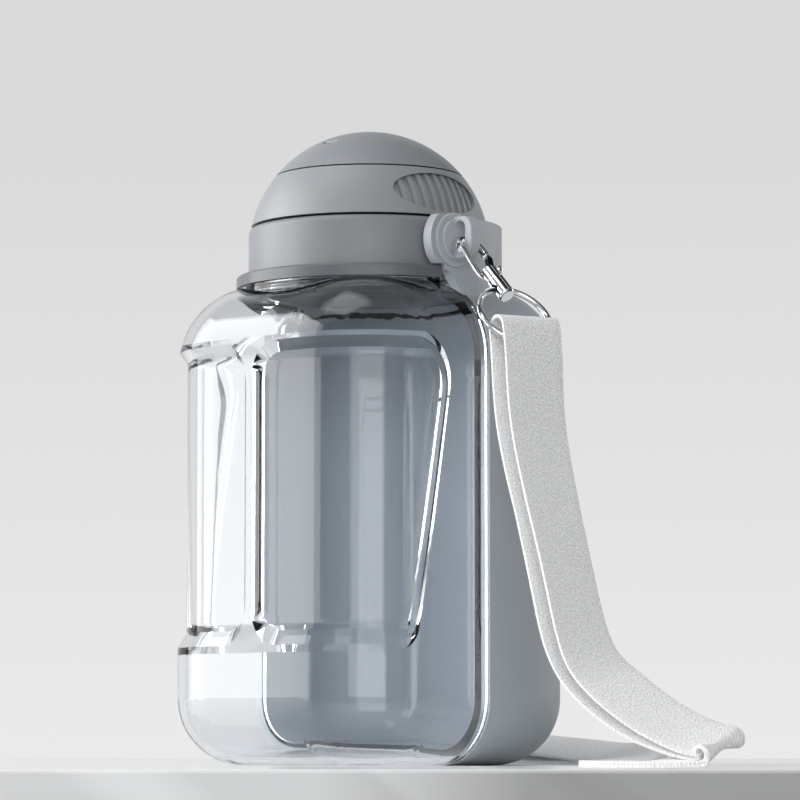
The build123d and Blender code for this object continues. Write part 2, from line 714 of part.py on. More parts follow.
export_step(dome_cap.part, "parts/dome_cap.step")
export_step(dome_liner.part, "parts/dome_liner.step")
export_step(spout_plug.part, "parts/spout_plug.step")
export_step(hinge_pin.part, "parts/hinge_pin.step")
export_step(hook_frame.part, "parts/hook_frame.step")
export_step(hook_gate.part, "parts/hook_gate.step")
export_step(gate_knob.part, "parts/gate_knob.step")
export_step(gate_pin.part, "parts/gate_pin.step")
export_step(swivel_rivet.part, "parts/swivel_rivet.step")
export_step(swivel_barrel.part, "parts/swivel_barrel.step")
export_step(lanyard_ring.part, "parts/lanyard_ring.step")
export_step(strap_webbing.part, "parts/strap_webbing.step")
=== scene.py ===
"""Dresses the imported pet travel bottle: finishes, cloth strap, thread, light and camera."""

from __future__ import annotations

import logging
import math
from dataclasses import dataclass, field
from enum import Enum

import bpy
import numpy as np
from mathutils import Matrix, Vector


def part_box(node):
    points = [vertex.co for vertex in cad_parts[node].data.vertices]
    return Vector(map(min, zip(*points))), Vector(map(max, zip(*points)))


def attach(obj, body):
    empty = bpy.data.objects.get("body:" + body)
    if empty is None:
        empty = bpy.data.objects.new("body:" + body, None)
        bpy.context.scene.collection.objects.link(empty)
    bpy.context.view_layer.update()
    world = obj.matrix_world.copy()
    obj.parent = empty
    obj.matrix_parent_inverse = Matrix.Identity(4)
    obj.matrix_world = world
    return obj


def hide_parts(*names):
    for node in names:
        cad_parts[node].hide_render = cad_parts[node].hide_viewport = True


LOG = logging.getLogger("bottle_scene")
MM = 0.001
Colour = tuple[float, float, float]
Profile = tuple[tuple[float, float], ...]

UP = np.array([0.0, 0.0, 1.0])
DIAGONAL = math.sqrt(0.5)
VIEW_TURN = math.radians(45)
SMOOTH_ANGLE = math.radians(50)
MIX_FIRST, MIX_SECOND, MIX_COLOUR = 6, 7, 2

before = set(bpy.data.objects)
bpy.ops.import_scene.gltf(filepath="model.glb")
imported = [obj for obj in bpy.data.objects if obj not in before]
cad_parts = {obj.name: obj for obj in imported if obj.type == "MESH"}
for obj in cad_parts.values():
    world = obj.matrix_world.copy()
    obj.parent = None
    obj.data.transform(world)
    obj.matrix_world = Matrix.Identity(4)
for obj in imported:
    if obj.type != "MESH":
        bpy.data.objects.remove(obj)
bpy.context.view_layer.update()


class Family(Enum):
    """Kinds of finish that share one recipe."""

    SATIN = "satin plastic"
    CLEAR = "clear plastic"
    CHROME = "plated metal"
    STEEL = "plain steel"
    SILICONE = "silicone"
    WEBBING = "woven webbing"


@dataclass(frozen=True)
class Finish:
    """One finish of the object.

    Args:
        name: Material name.
        family: Recipe that the finish follows.
        colour: Linear base colour.
        roughness: Mean roughness.
        grain: Height of the fine surface grain, in millimetres.
        pitch: Noise scale of the grain, per metre.
    """

    name: str
    family: Family
    colour: Colour
    roughness: float = 0.4
    grain: float = 0.01
    pitch: float = 2400.0


CLEAR_BODY = Finish("clear_body", Family.CLEAR, (0.93, 0.95, 0.97), 0.02, 0.004, 90.0)
LID_GREY = Finish("lid_grey", Family.SATIN, (0.265, 0.281, 0.296), 0.42)
COLLAR_GREY = Finish("collar_grey", Family.SATIN, (0.212, 0.227, 0.241), 0.42)
CAP_GREY = Finish("cap_grey", Family.SATIN, (0.238, 0.256, 0.274), 0.42)
BEZEL_GREY = Finish("bezel_grey", Family.SATIN, (0.11, 0.12, 0.131), 0.34)
SHELL_GREY = Finish("shell_grey", Family.SATIN, (0.365, 0.4, 0.43), 0.46)
LOOP_GREY = Finish("loop_grey", Family.SATIN, (0.41, 0.44, 0.466), 0.46)
DECK_GREY = Finish("deck_grey", Family.SATIN, (0.25, 0.265, 0.28), 0.5)
SEAL_WHITE = Finish("seal_white", Family.SILICONE, (0.72, 0.73, 0.74), 0.55, 0.02, 1200.0)
CHROME = Finish("chrome_painted_reflections", Family.CHROME, (0.9, 0.91, 0.92), 0.05, 0.0006, 300.0)
PIN_STEEL = Finish("pin_steel", Family.STEEL, (0.55, 0.56, 0.57), 0.3, 0.006, 1800.0)
# Painted reflection: the same chrome with a dark colour, standing in for the dark surroundings that
# the gate mirrors.
GATE_PAINTED_DARK_REFLECTION = Finish("gate_painted_dark_reflection", Family.CHROME, (0.14, 0.145, 0.15), 0.05, 0.0006, 300.0)
STRAP_GREY = Finish("strap_grey", Family.WEBBING, (0.86, 0.86, 0.862), 0.88, 0.2, 1.0)

YARN_TURNS = (62.0, -28.0)
YARN_PITCH = 2900.0
FUZZ_PITCH = 1500.0
WEAVE_SHARE = 0.4
# Painted reflection on plated metal: tones that multiply its colour by how square it faces the
# view, front to edge, with dark lines between.
PAINTED_REFLECTION_FRONT = 1.0
PAINTED_REFLECTION_EDGE = 0.6
PAINTED_REFLECTION_LINES: Profile = (
    (0.2, 0.95), (0.25, 0.03), (0.35, 0.03), (0.41, 1.0), (0.77, 1.0), (0.83, 0.03), (0.95, 0.04))

NODE_FINISHES: dict[str, Finish] = {
    "bottle_body": CLEAR_BODY,
    "neck_bezel": BEZEL_GREY,
    "bowl_shell": SHELL_GREY,
    "strap_loop": LOOP_GREY,
    "lid_collar": COLLAR_GREY,
    "lid_insert": DECK_GREY,
    "lid_gasket": SEAL_WHITE,
    "vent_plug": SEAL_WHITE,
    "dome_band": LID_GREY,
    "dome_cap": CAP_GREY,
    "dome_liner": DECK_GREY,
    "spout_plug": SEAL_WHITE,
    "hinge_pin": PIN_STEEL,
    "hook_frame": CHROME,
    "hook_gate": GATE_PAINTED_DARK_REFLECTION,
    "gate_knob": CHROME,
    "gate_pin": PIN_STEEL,
    "swivel_barrel": CHROME,
    "swivel_rivet": PIN_STEEL,
    "lanyard_ring": CHROME,
    "strap_webbing": STRAP_GREY,
}


def add_node(tree: bpy.types.NodeTree, kind: str, **values: object) -> bpy.types.Node:
    """Adds a shader node and sets some of its inputs.

    Args:
        tree: Tree that gets the node.
        kind: Node type, without its common prefix.
        values: Input values, by input name with underscores for spaces.

    Returns:
        The new node.
    """
    node = tree.nodes.new(f"ShaderNode{kind}")
    for name, value in values.items():
        node.inputs[name.replace("_", " ")].default_value = value
    return node


@dataclass
class MaterialShop:
    """Builds each finish once, from shared node groups."""

    made: dict[str, bpy.types.Material] = field(default_factory=dict)

    def surface_group(self) -> bpy.types.NodeTree:
        """Group that turns a place into grain height, mottled tone and roughness wear.

        Returns:
            The shared node group.
        """
        if "surface_grain" in bpy.data.node_groups:
            return bpy.data.node_groups["surface_grain"]
        group = bpy.data.node_groups.new("surface_grain", "ShaderNodeTree")
        face = group.interface
        face.new_socket("Place", in_out="INPUT", socket_type="NodeSocketVector")
        face.new_socket("Pitch", in_out="INPUT", socket_type="NodeSocketFloat")
        for name in ("Height", "Mottle", "Wear"):
            face.new_socket(name, in_out="OUTPUT", socket_type="NodeSocketFloat")
        links = group.links
        start = group.nodes.new("NodeGroupInput")
        end = group.nodes.new("NodeGroupOutput")
        grain = add_node(group, "TexNoise", Detail=3.0, Roughness=0.6)
        broad = add_node(group, "TexNoise", Scale=34.0, Detail=5.0)
        rub = add_node(group, "TexNoise", Scale=120.0, Detail=6.0)
        for noise in (grain, broad, rub):
            links.new(start.outputs["Place"], noise.inputs["Vector"])
        links.new(start.outputs["Pitch"], grain.inputs["Scale"])
        links.new(grain.outputs["Fac"], end.inputs["Height"])
        links.new(broad.outputs["Fac"], end.inputs["Mottle"])
        links.new(rub.outputs["Fac"], end.inputs["Wear"])
        return group

    def base(self, finish: Finish) -> tuple[bpy.types.Material, bpy.types.Node, bpy.types.Node]:
        """Starts a material with its shader and the shared grain.

        Args:
            finish: Finish to start.

        Returns:
            Material, its principled shader and its grain group node.
        """
        material = bpy.data.materials.new(finish.name)
        material.use_nodes = True
        tree = material.node_tree
        place = add_node(tree, "TexCoord")
        grain = add_node(tree, "Group")
        grain.node_tree = self.surface_group()
        grain.inputs["Pitch"].default_value = finish.pitch
        tree.links.new(place.outputs["Object"], grain.inputs["Place"])
        return material, tree.nodes["Principled BSDF"], grain

    def spread(self, material: bpy.types.Material, source: bpy.types.NodeSocket,
               low: float, high: float) -> bpy.types.NodeSocket:
        """Maps a mask from its middle range to low and high.

        Args:
            material: Material that gets the node.
            source: Mask socket.
            low: Value at the mask's low end.
            high: Value at the mask's high end.

        Returns:
            The mapped value.
        """
        remap = add_node(material.node_tree, "MapRange",
                         From_Min=0.3, From_Max=0.7, To_Min=low, To_Max=high)
        material.node_tree.links.new(source, remap.inputs["Value"])
        return remap.outputs["Result"]

    def tint(self, material: bpy.types.Material, colour: Colour, factor: bpy.types.NodeSocket,
             swing: float) -> bpy.types.NodeSocket:
        """Colour that drifts slightly lighter and darker with a mask.

        Args:
            material: Material that gets the node.
            colour: Mean colour.
            factor: Mask socket.
            swing: Share of the colour it drifts by.

        Returns:
            The tinted colour.
        """
        mix = add_node(material.node_tree, "Mix")
        mix.data_type = "RGBA"
        mix.inputs[MIX_FIRST].default_value = (*[c * (1 - swing) for c in colour], 1.0)
        mix.inputs[MIX_SECOND].default_value = (*[c * (1 + swing) for c in colour], 1.0)
        material.node_tree.links.new(factor, mix.inputs["Factor"])
        return mix.outputs[MIX_COLOUR]

    def relief(self, material: bpy.types.Material, height: bpy.types.NodeSocket,
               depth: float, shader: bpy.types.Node) -> None:
        """Adds a bump of a depth in millimetres.

        Args:
            material: Material that gets the bump.
            height: Height mask.
            depth: Depth in millimetres.
            shader: Shader whose normal is bumped.
        """
        bump = add_node(material.node_tree, "Bump", Strength=1.0, Distance=depth * MM)
        material.node_tree.links.new(height, bump.inputs["Height"])
        material.node_tree.links.new(bump.outputs["Normal"], shader.inputs["Normal"])

    def satin(self, finish: Finish) -> bpy.types.Material:
        """Moulded plastic with a fine spark-eroded grain."""
        material, shader, grain = self.base(finish)
        links = material.node_tree.links
        links.new(self.tint(material, finish.colour, grain.outputs["Mottle"], 0.03),
                  shader.inputs["Base Color"])
        links.new(self.spread(material, grain.outputs["Wear"], finish.roughness - 0.04,
                              finish.roughness + 0.05), shader.inputs["Roughness"])
        shader.inputs["IOR"].default_value = 1.49
        self.relief(material, grain.outputs["Height"], finish.grain, shader)
        return material

    def clear(self, finish: Finish) -> bpy.types.Material:
        """Thick clear plastic that lets light pass to what stands behind it."""
        material, shader, grain = self.base(finish)
        nodes, links = material.node_tree.nodes, material.node_tree.links
        links.new(self.tint(material, finish.colour, grain.outputs["Mottle"], 0.01),
                  shader.inputs["Base Color"])
        shader.inputs["Transmission Weight"].default_value = 1.0
        shader.inputs["IOR"].default_value = 1.36
        links.new(self.spread(material, grain.outputs["Wear"], 0.0, finish.roughness * 2),
                  shader.inputs["Roughness"])
        self.relief(material, grain.outputs["Height"], finish.grain, shader)
        path = add_node(material.node_tree, "LightPath")
        pass_light = add_node(material.node_tree, "BsdfTransparent", Color=(0.95, 0.96, 0.97, 1.0))
        mix = add_node(material.node_tree, "MixShader")
        links.new(path.outputs["Is Shadow Ray"], mix.inputs["Fac"])
        links.new(shader.outputs["BSDF"], mix.inputs[1])
        links.new(pass_light.outputs["BSDF"], mix.inputs[2])
        links.new(mix.outputs["Shader"], nodes["Material Output"].inputs["Surface"])
        return material

    def paint_reflection_lines(self, material: bpy.types.Material,
                    colour: bpy.types.NodeSocket) -> bpy.types.NodeSocket:
        """Paints dark reflection lines into a plated colour along the form, as a dark room would
        show in a mirror.

        Args:
            material: Material that gets the nodes.
            colour: Colour of the plating.

        Returns:
            The lined colour.
        """
        tree = material.node_tree
        facing = add_node(tree, "LayerWeight", Blend=0.5)
        lines = add_node(tree, "ValToRGB")
        stops = lines.color_ramp.elements
        stops[0].position = 0.0
        stops[0].color = (PAINTED_REFLECTION_FRONT, PAINTED_REFLECTION_FRONT, PAINTED_REFLECTION_FRONT, 1.0)
        for place, tone in PAINTED_REFLECTION_LINES:
            stops.new(place).color = (tone, tone, tone, 1.0)
        stops[-1].color = (PAINTED_REFLECTION_EDGE, PAINTED_REFLECTION_EDGE, PAINTED_REFLECTION_EDGE, 1.0)
        tree.links.new(facing.outputs["Facing"], lines.inputs["Fac"])
        shade = add_node(tree, "Mix", Factor=1.0)
        shade.data_type = "RGBA"
        shade.blend_type = "MULTIPLY"
        tree.links.new(colour, shade.inputs[MIX_FIRST])
        tree.links.new(lines.outputs["Color"], shade.inputs[MIX_SECOND])
        return shade.outputs[MIX_COLOUR]

    def metal(self, finish: Finish) -> bpy.types.Material:
        """Plated or plain metal."""
        material, shader, grain = self.base(finish)
        links = material.node_tree.links
        colour = self.tint(material, finish.colour, grain.outputs["Mottle"], 0.02)
        # Plated finishes get painted reflection lines in their colour.
        if finish.family is Family.CHROME:
            colour = self.paint_reflection_lines(material, colour)
        links.new(colour, shader.inputs["Base Color"])
        shader.inputs["Metallic"].default_value = 1.0
        links.new(self.spread(material, grain.outputs["Wear"], finish.roughness * 0.7,
                              finish.roughness * 1.6), shader.inputs["Roughness"])
        self.relief(material, grain.outputs["Height"], finish.grain, shader)
        return material

    def silicone(self, finish: Finish) -> bpy.types.Material:
        """Soft pale silicone."""
        material = self.satin(finish)
        shader = material.node_tree.nodes["Principled BSDF"]
        shader.inputs["Subsurface Weight"].default_value = 0.3
        shader.inputs["Subsurface Radius"].default_value = (0.002, 0.002, 0.002)
        return material

    def webbing(self, finish: Finish) -> bpy.types.Material:
        """Flat woven polyester: two crossing yarns, laid out along the strap's own map."""
        material, shader, _ = self.base(finish)
        tree, links = material.node_tree, material.node_tree.links
        lay = add_node(tree, "UVMap")
        lay.uv_map = "lay"
        weave = add_node(tree, "Math")
        weave.operation = "MULTIPLY"
        for yarn, turn in enumerate(YARN_TURNS):
            spin = add_node(tree, "Mapping", Rotation=(0.0, 0.0, math.radians(turn)))
            wave = add_node(tree, "TexWave", Scale=YARN_PITCH / (2 * math.pi), Distortion=0.4,
                            Detail_Scale=2.0)
            links.new(lay.outputs["UV"], spin.inputs["Vector"])
            links.new(spin.outputs["Vector"], wave.inputs["Vector"])
            links.new(wave.outputs["Fac"], weave.inputs[yarn])
        fuzz = add_node(tree, "TexNoise", Scale=FUZZ_PITCH, Detail=2.0)
        links.new(lay.outputs["UV"], fuzz.inputs["Vector"])
        blend = add_node(tree, "Math")
        blend.operation = "MULTIPLY_ADD"
        blend.inputs[1].default_value = WEAVE_SHARE
        links.new(weave.outputs["Value"], blend.inputs[0])
        links.new(self.spread(material, fuzz.outputs["Fac"], 0.0, 1 - WEAVE_SHARE), blend.inputs[2])
        links.new(self.tint(material, finish.colour, blend.outputs["Value"], 0.3),
                  shader.inputs["Base Color"])
        shader.inputs["Roughness"].default_value = finish.roughness
        shader.inputs["Sheen Weight"].default_value = 0.25
        shader.inputs["Specular IOR Level"].default_value = 0.25
        self.relief(material, blend.outputs["Value"], finish.grain, shader)
        return material

    def get(self, finish: Finish) -> bpy.types.Material:
        """Returns the finish's material, built on first use.

        Args:
            finish: Finish wanted.

        Returns:
            Its material.
        """
        if finish.name not in self.made:
            recipes = {
                Family.SATIN: self.satin,
                Family.CLEAR: self.clear,
                Family.CHROME: self.metal,
                Family.STEEL: self.metal,
                Family.SILICONE: self.silicone,
                Family.WEBBING: self.webbing,
            }
            self.made[finish.name] = recipes[finish.family](finish)
        return self.made[finish.name]

    def dress(self, piece: bpy.types.Object, finish: Finish) -> None:
        """Gives a piece one finish.

        Args:
            piece: Mesh object.
            finish: Its finish.
        """
        piece.data.materials.clear()
        piece.data.materials.append(self.get(finish))


def cubic_points(knots: np.ndarray, first: np.ndarray, last: np.ndarray,
                 shares: np.ndarray) -> np.ndarray:
    """Points of the smooth curve through some knots, with given end directions.

    Args:
        knots: Points the curve passes, one per row.
        first: Direction at the start.
        last: Direction at the end.
        shares: Places along the curve, 0 to 1 by chord length.

    Returns:
        One point per share.
    """
    chords = np.linalg.norm(np.diff(knots, axis=0), axis=1)
    ticks = np.concatenate(([0.0], np.cumsum(chords)))
    count = len(knots)
    matrix = np.zeros((count, count))
    right = np.zeros((count, 3))
    matrix[0, 0] = matrix[-1, -1] = 1.0
    right[0] = first / np.linalg.norm(first)
    right[-1] = last / np.linalg.norm(last)
    for row in range(1, count - 1):
        before, after = chords[row - 1], chords[row]
        matrix[row, row - 1] = after
        matrix[row, row] = 2 * (before + after)
        matrix[row, row + 1] = before
        right[row] = 3 * (after * (knots[row] - knots[row - 1]) / before
                          + before * (knots[row + 1] - knots[row]) / after)
    slopes = np.linalg.solve(matrix, right)
    result = []
    for place in shares * ticks[-1]:
        span = min(max(int(np.searchsorted(ticks, place)) - 1, 0), count - 2)
        step = chords[span]
        t = (place - ticks[span]) / step
        result.append((2 * t ** 3 - 3 * t ** 2 + 1) * knots[span]
                      + (t ** 3 - 2 * t ** 2 + t) * step * slopes[span]
                      + (3 * t ** 2 - 2 * t ** 3) * knots[span + 1]
                      + (t ** 3 - t ** 2) * step * slopes[span + 1])
    return np.array(result)


@dataclass(frozen=True)
class Station:
    """One place along the middle of the doubled webbing, in millimetres.

    Args:
        place: Middle between the two plies.
        along: Unit direction of the webbing.
        side: Unit vector across the webbing.
        gap: Half the distance between the plies.
    """

    place: np.ndarray
    along: np.ndarray
    side: np.ndarray
    gap: float

    @classmethod
    def set_out(cls, place: np.ndarray, way: np.ndarray, heading: float, tilt: float,
                gap: float) -> Station:
        """Makes a station whose across vector is square to the webbing.

        Args:
            place: Middle between the two plies.
            way: Direction of the webbing, of any length.
            heading: Compass heading of the across vector, in degrees.
            tilt: Rise of the across vector, in degrees.
            gap: Half the distance between the plies.

        Returns:
            The station.
        """
        along = way / np.linalg.norm(way)
        flat = math.cos(math.radians(tilt))
        side = np.array([math.cos(math.radians(heading)) * flat,
                         math.sin(math.radians(heading)) * flat, math.sin(math.radians(tilt))])
        side = side - along * side.dot(along)
        return cls(place, along, side / np.linalg.norm(side), gap)

    def ply(self, turn: int) -> np.ndarray:
        """Middle of one ply.

        Args:
            turn: 1 for the ply towards the bottle, -1 for the other.

        Returns:
            Its place.
        """
        return self.place + np.cross(self.along, self.side) * self.gap * turn


@dataclass
class Strap:
    """Webbing loop: hangs from the ring in two plies, folds on the table and runs behind.

    All lengths are in millimetres and all angles in degrees. A profile gives a value at shares of
    the way.
    """

    width: float = 20.0
    thickness: float = 0.9
    cad_thickness: float = 1.4
    crest_depth: float = 0.4
    edge_round: float = 0.28
    hang_turn: float = -17.0
    fold_gap: float = 4.1
    table_gap: float = 0.48
    tail_gap: float = 2.25
    tail_start: float = 0.8
    drop_gaps: Profile = (
        (0.0, 4.1), (0.07, 4.1), (0.34, 3.0), (0.6, 3.3), (0.82, 2.4), (0.92, 1.3), (1.0, 0.48))
    end_shift: float = 17.1
    foot_height: float = 0.97
    foot_reach: float = 78.5
    end_radius: float = 0.955
    end_dip: float = 0.04
    drop_tilts: Profile = ((0.45, 0.0), (0.75, 25.0))
    run_tilts: Profile = ((0.0, 25.0), (0.1, 0.0), (0.45, 0.0), (0.65, 15.0), (1.0, 15.0))
    drop: Profile = (
        (2.6, 108.0), (11.2, 80.0), (20.6, 52.5), (31.0, 28.0), (43.0, 17.6), (57.0, 9.6),
        (67.4, 5.4))
    drop_lean: float = 0.2
    run_start: float = 30.0
    run: Profile = (
        (101.0, 2.0), (80.0, 30.0), (66.0, 55.0), (44.0, 72.0), (16.0, 80.0), (-14.0, 80.0))
    drop_steps: int = 70
    fold_steps: int = 16
    run_steps: int = 80
    bight_steps: int = 12
    lanes: int = 9

    @property
    def out(self) -> np.ndarray:
        """Direction that the webbing is drawn out in, over the table."""
        turn = math.radians(self.hang_turn)
        return np.array([math.cos(turn), math.sin(turn), 0.0])

    @property
    def beside(self) -> np.ndarray:
        """Direction on the table that is square to out, away from the camera."""
        return np.array([-self.out[1], self.out[0], 0.0])

    @property
    def end_slope(self) -> float:
        """Sideways run of the webbing per millimetre of reach, at its end fold."""
        return 2 * self.end_shift / self.foot_reach

    @property
    def end_way(self) -> np.ndarray:
        """Direction of the webbing at its end fold."""
        return (self.out + self.beside * self.end_slope) / math.hypot(1.0, self.end_slope)

    @property
    def end_heading(self) -> float:
        """Heading of the across vector at the end fold."""
        return self.hang_turn + 90.0 + math.degrees(math.atan(self.end_slope))

    def top_fold(self) -> np.ndarray:
        """Middle of the doubled webbing at its top fold, from the CAD webbing over the ring."""
        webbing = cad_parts["strap_webbing"]
        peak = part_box("strap_webbing")[1][2] / MM
        places = [webbing.matrix_world @ vertex.co for vertex in webbing.data.vertices]
        crest = [p for p in places if p.z / MM > peak - self.crest_depth]
        middle = sum((np.array([p.x, p.y]) for p in crest), np.zeros(2)) / len(crest) / MM
        half = self.fold_gap + (self.cad_thickness - self.thickness) / 2
        return np.array([middle[0], middle[1], peak - half - self.cad_thickness / 2])

    def lift(self, tilt: float) -> float:
        """Height that a tilted place stands above a flat one, with its low edge on the table.

        Args:
            tilt: Tilt across the webbing, in degrees.

        Returns:
            Rise of the webbing's middle, in millimetres.
        """
        return self.width / 2 * math.sin(math.radians(tilt))

    def below(self, foot: np.ndarray, reach: float) -> np.ndarray:
        """Place on the table under the webbing.

        Args:
            foot: Place on the table under the top fold.
            reach: Distance drawn out from it.

        Returns:
            The place.
        """
        bend = self.end_shift * (reach / self.foot_reach) ** 2
        return foot + self.out * reach + self.beside * bend

    def drop_stations(self, fold: np.ndarray, foot: np.ndarray) -> list[Station]:
        """Stations from the ring down to the end fold on the table.

        Args:
            fold: Middle of the top fold.
            foot: Place on the table under it.

        Returns:
            The stations.
        """
        knots = [fold] + [self.below(foot, reach) + UP * height for reach, height in self.drop]
        end_height = self.foot_height + 2 * self.end_radius
        knots.append(self.below(foot, self.foot_reach) + UP * end_height)
        shares = np.linspace(0.0, 1.0, self.drop_steps)
        points = cubic_points(np.array(knots), self.out * self.drop_lean - UP,
                              self.end_way - UP * self.end_dip, shares)
        across = self.hang_turn + 90.0
        stations = []
        for share, point, way in zip(shares, points, np.gradient(points, axis=0)):
            tilt = float(np.interp(share, *zip(*self.drop_tilts)))
            gap = float(np.interp(share, *zip(*self.drop_gaps)))
            heading = across + (self.end_heading - across) * share
            stations.append(Station.set_out(point + UP * self.lift(tilt), way, heading, tilt, gap))
        return stations

    def fold_stations(self, foot: np.ndarray) -> list[Station]:
        """Stations round the end fold.

        Args:
            foot: Place on the table under the top fold.

        Returns:
            The stations.
        """
        tilt = self.run_tilts[0][1]
        middle = self.below(foot, self.foot_reach) + UP * (self.foot_height + self.lift(tilt))
        stations = []
        for step in range(1, self.fold_steps):
            angle = math.pi * step / self.fold_steps
            place = middle + (self.end_way * self.end_radius * math.sin(angle)
                              + UP * self.end_radius * (1 + math.cos(angle)))
            way = self.end_way * math.cos(angle) - UP * math.sin(angle)
            stations.append(Station.set_out(place, way, self.end_heading, tilt, self.table_gap))
        return stations

    def run_stations(self, foot: np.ndarray) -> list[Station]:
        """Stations from the end fold, over the table, to the far bight behind the bottle.

        Args:
            foot: Place on the table under the top fold.

        Returns:
            The stations.
        """
        rest = UP * self.foot_height
        knots = [self.below(foot, self.foot_reach) + rest,
                 self.below(foot, self.foot_reach - self.run_start) + rest]
        knots += [np.array([x, y, self.foot_height]) for x, y in self.run]
        shares = np.linspace(0.0, 1.0, self.run_steps)
        points = cubic_points(np.array(knots), -self.end_way, np.array([-1.0, 0.0, 0.0]), shares)
        stations = []
        for share, point, way in zip(shares, points, np.gradient(points, axis=0)):
            late = max(0.0, (share - self.tail_start) / (1 - self.tail_start))
            gap = self.table_gap + (self.tail_gap - self.table_gap) * late
            heading = math.degrees(math.atan2(way[1], way[0])) % 360 - 90.0
            tilt = float(np.interp(share, *zip(*self.run_tilts)))
            rise = gap - self.table_gap + self.lift(tilt)
            stations.append(Station.set_out(point + UP * rise, way, heading, tilt, gap))
        return stations

    def bight(self, end: Station, turn: int) -> list[tuple[np.ndarray, np.ndarray]]:
        """Half round that joins the two plies at one end.

        Args:
            end: Station at that end.
            turn: 1 at the first station, -1 at the last.

        Returns:
            Places with their across vectors.
        """
        normal = np.cross(end.along, end.side)
        arc = []
        for step in range(1, self.bight_steps):
            angle = math.pi * step / self.bight_steps
            arc.append((end.place + normal * end.gap * math.cos(angle) * turn
                        - end.along * end.gap * math.sin(angle) * turn, end.side))
        return arc

    def rows(self) -> list[tuple[np.ndarray, np.ndarray]]:
        """Middle line of the whole loop, closed, as places with their across vectors."""
        fold = self.top_fold()
        foot = fold * (1.0, 1.0, 0.0)
        stations = self.drop_stations(fold, foot)
        stations += self.fold_stations(foot) + self.run_stations(foot)
        line = [(station.ply(1), station.side) for station in reversed(stations)]
        line += self.bight(stations[0], 1)
        line += [(station.ply(-1), station.side) for station in stations]
        line += self.bight(stations[-1], -1)
        return line + line[:1]

    def build(self, shop: MaterialShop) -> bpy.types.Object:
        """Args:
            shop: Source of materials.

        Returns:
            The finished strap.
        """
        line = self.rows()
        lengths = [0.0]
        for (first, _), (second, _) in zip(line, line[1:]):
            lengths.append(lengths[-1] + float(np.linalg.norm(second - first)))
        bpy.ops.object.select_all(action="DESELECT")
        bpy.ops.mesh.primitive_grid_add(x_subdivisions=self.lanes - 1,
                                        y_subdivisions=len(line) - 1, size=2.0)
        cloth = bpy.context.object
        cloth.name = "strap_cloth"
        layer = cloth.data.uv_layers.new(name="lay")
        for loop in cloth.data.loops:
            flat = cloth.data.vertices[loop.vertex_index].co
            row = round((flat.y + 1) / 2 * (len(line) - 1))
            layer.data[loop.index].uv = (flat.x * self.width / 2 * MM, lengths[row] * MM)
        for vertex in cloth.data.vertices:
            row = round((vertex.co.y + 1) / 2 * (len(line) - 1))
            place, side = line[row]
            vertex.co = Vector((place + side * vertex.co.x * self.width / 2) * MM)
        solid = cloth.modifiers.new("thickness", "SOLIDIFY")
        solid.thickness = self.thickness * MM
        solid.offset = 0.0
        bevel = cloth.modifiers.new("soft_edge", "BEVEL")
        bevel.width = self.edge_round * MM
        bevel.segments = 2
        bevel.limit_method = "ANGLE"
        bevel.angle_limit = math.radians(60)
        for name in ("thickness", "soft_edge"):
            bpy.ops.object.modifier_apply(modifier=name)
        bpy.ops.object.shade_smooth_by_angle(angle=SMOOTH_ANGLE)
        shop.dress(cloth, STRAP_GREY)
        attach(cloth, "ring")
        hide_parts("strap_webbing")
        LOG.info("strap length %.1f mm", lengths[-1])
        return cloth


@dataclass(frozen=True)
class Thread:
    """One raised screw thread, as a round ridge sunk into its wall. Lengths are in millimetres.

    Args:
        name: Object name.
        body: Body that it rides.
        slot: Name of a material slot; not used.
        radius: Radius of the ridge's middle line.
        low: Height of its start.
        turns: Number of turns.
        start: Angle of its start, in degrees.
    """

    name: str
    body: str
    slot: str
    radius: float
    low: float
    turns: float
    start: float
    ridge: float = 0.8
    pitch: float = 4.0
    sides: int = 10
    steps: int = 72

    def build(self, shop: MaterialShop, finish: Finish) -> bpy.types.Object:
        """Sweeps the ridge up round the lid's axis and caps both ends.

        Args:
            shop: Source of materials.
            finish: Finish of the wall that it stands on.

        Returns:
            The finished thread.
        """
        bpy.ops.object.select_all(action="DESELECT")
        bpy.ops.mesh.primitive_circle_add(vertices=self.sides, radius=self.ridge * MM)
        ridge = bpy.context.object
        ridge.name = self.name
        ridge.data.transform(Matrix.Rotation(math.radians(self.start), 4, "Z")
                             @ Matrix.Translation((self.radius * MM, 0.0, self.low * MM))
                             @ Matrix.Rotation(math.radians(90), 4, "X"))
        screw = ridge.modifiers.new("climb", "SCREW")
        screw.angle = 2 * math.pi * self.turns
        screw.screw_offset = self.pitch * self.turns * MM
        screw.steps = screw.render_steps = int(self.steps * self.turns)
        screw.use_smooth_shade = True
        bpy.ops.object.modifier_apply(modifier="climb")
        bpy.ops.object.mode_set(mode="EDIT")
        bpy.ops.mesh.select_all(action="SELECT")
        bpy.ops.mesh.fill_holes(sides=0)
        bpy.ops.mesh.normals_make_consistent(inside=False)
        bpy.ops.object.mode_set(mode="OBJECT")
        bpy.ops.object.shade_smooth_by_angle(angle=SMOOTH_ANGLE)
        shop.dress(ridge, finish)
        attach(ridge, self.body)
        return ridge


THREADS = (
    (Thread("neck_thread", "bottle", "clear_plastic", 34.55, 158.2, 1.5, 20.0), CLEAR_BODY),
    (Thread("lid_thread", "lid", "deck_plastic", 35.85, 156.2, 1.75, 20.0), DECK_GREY),
)


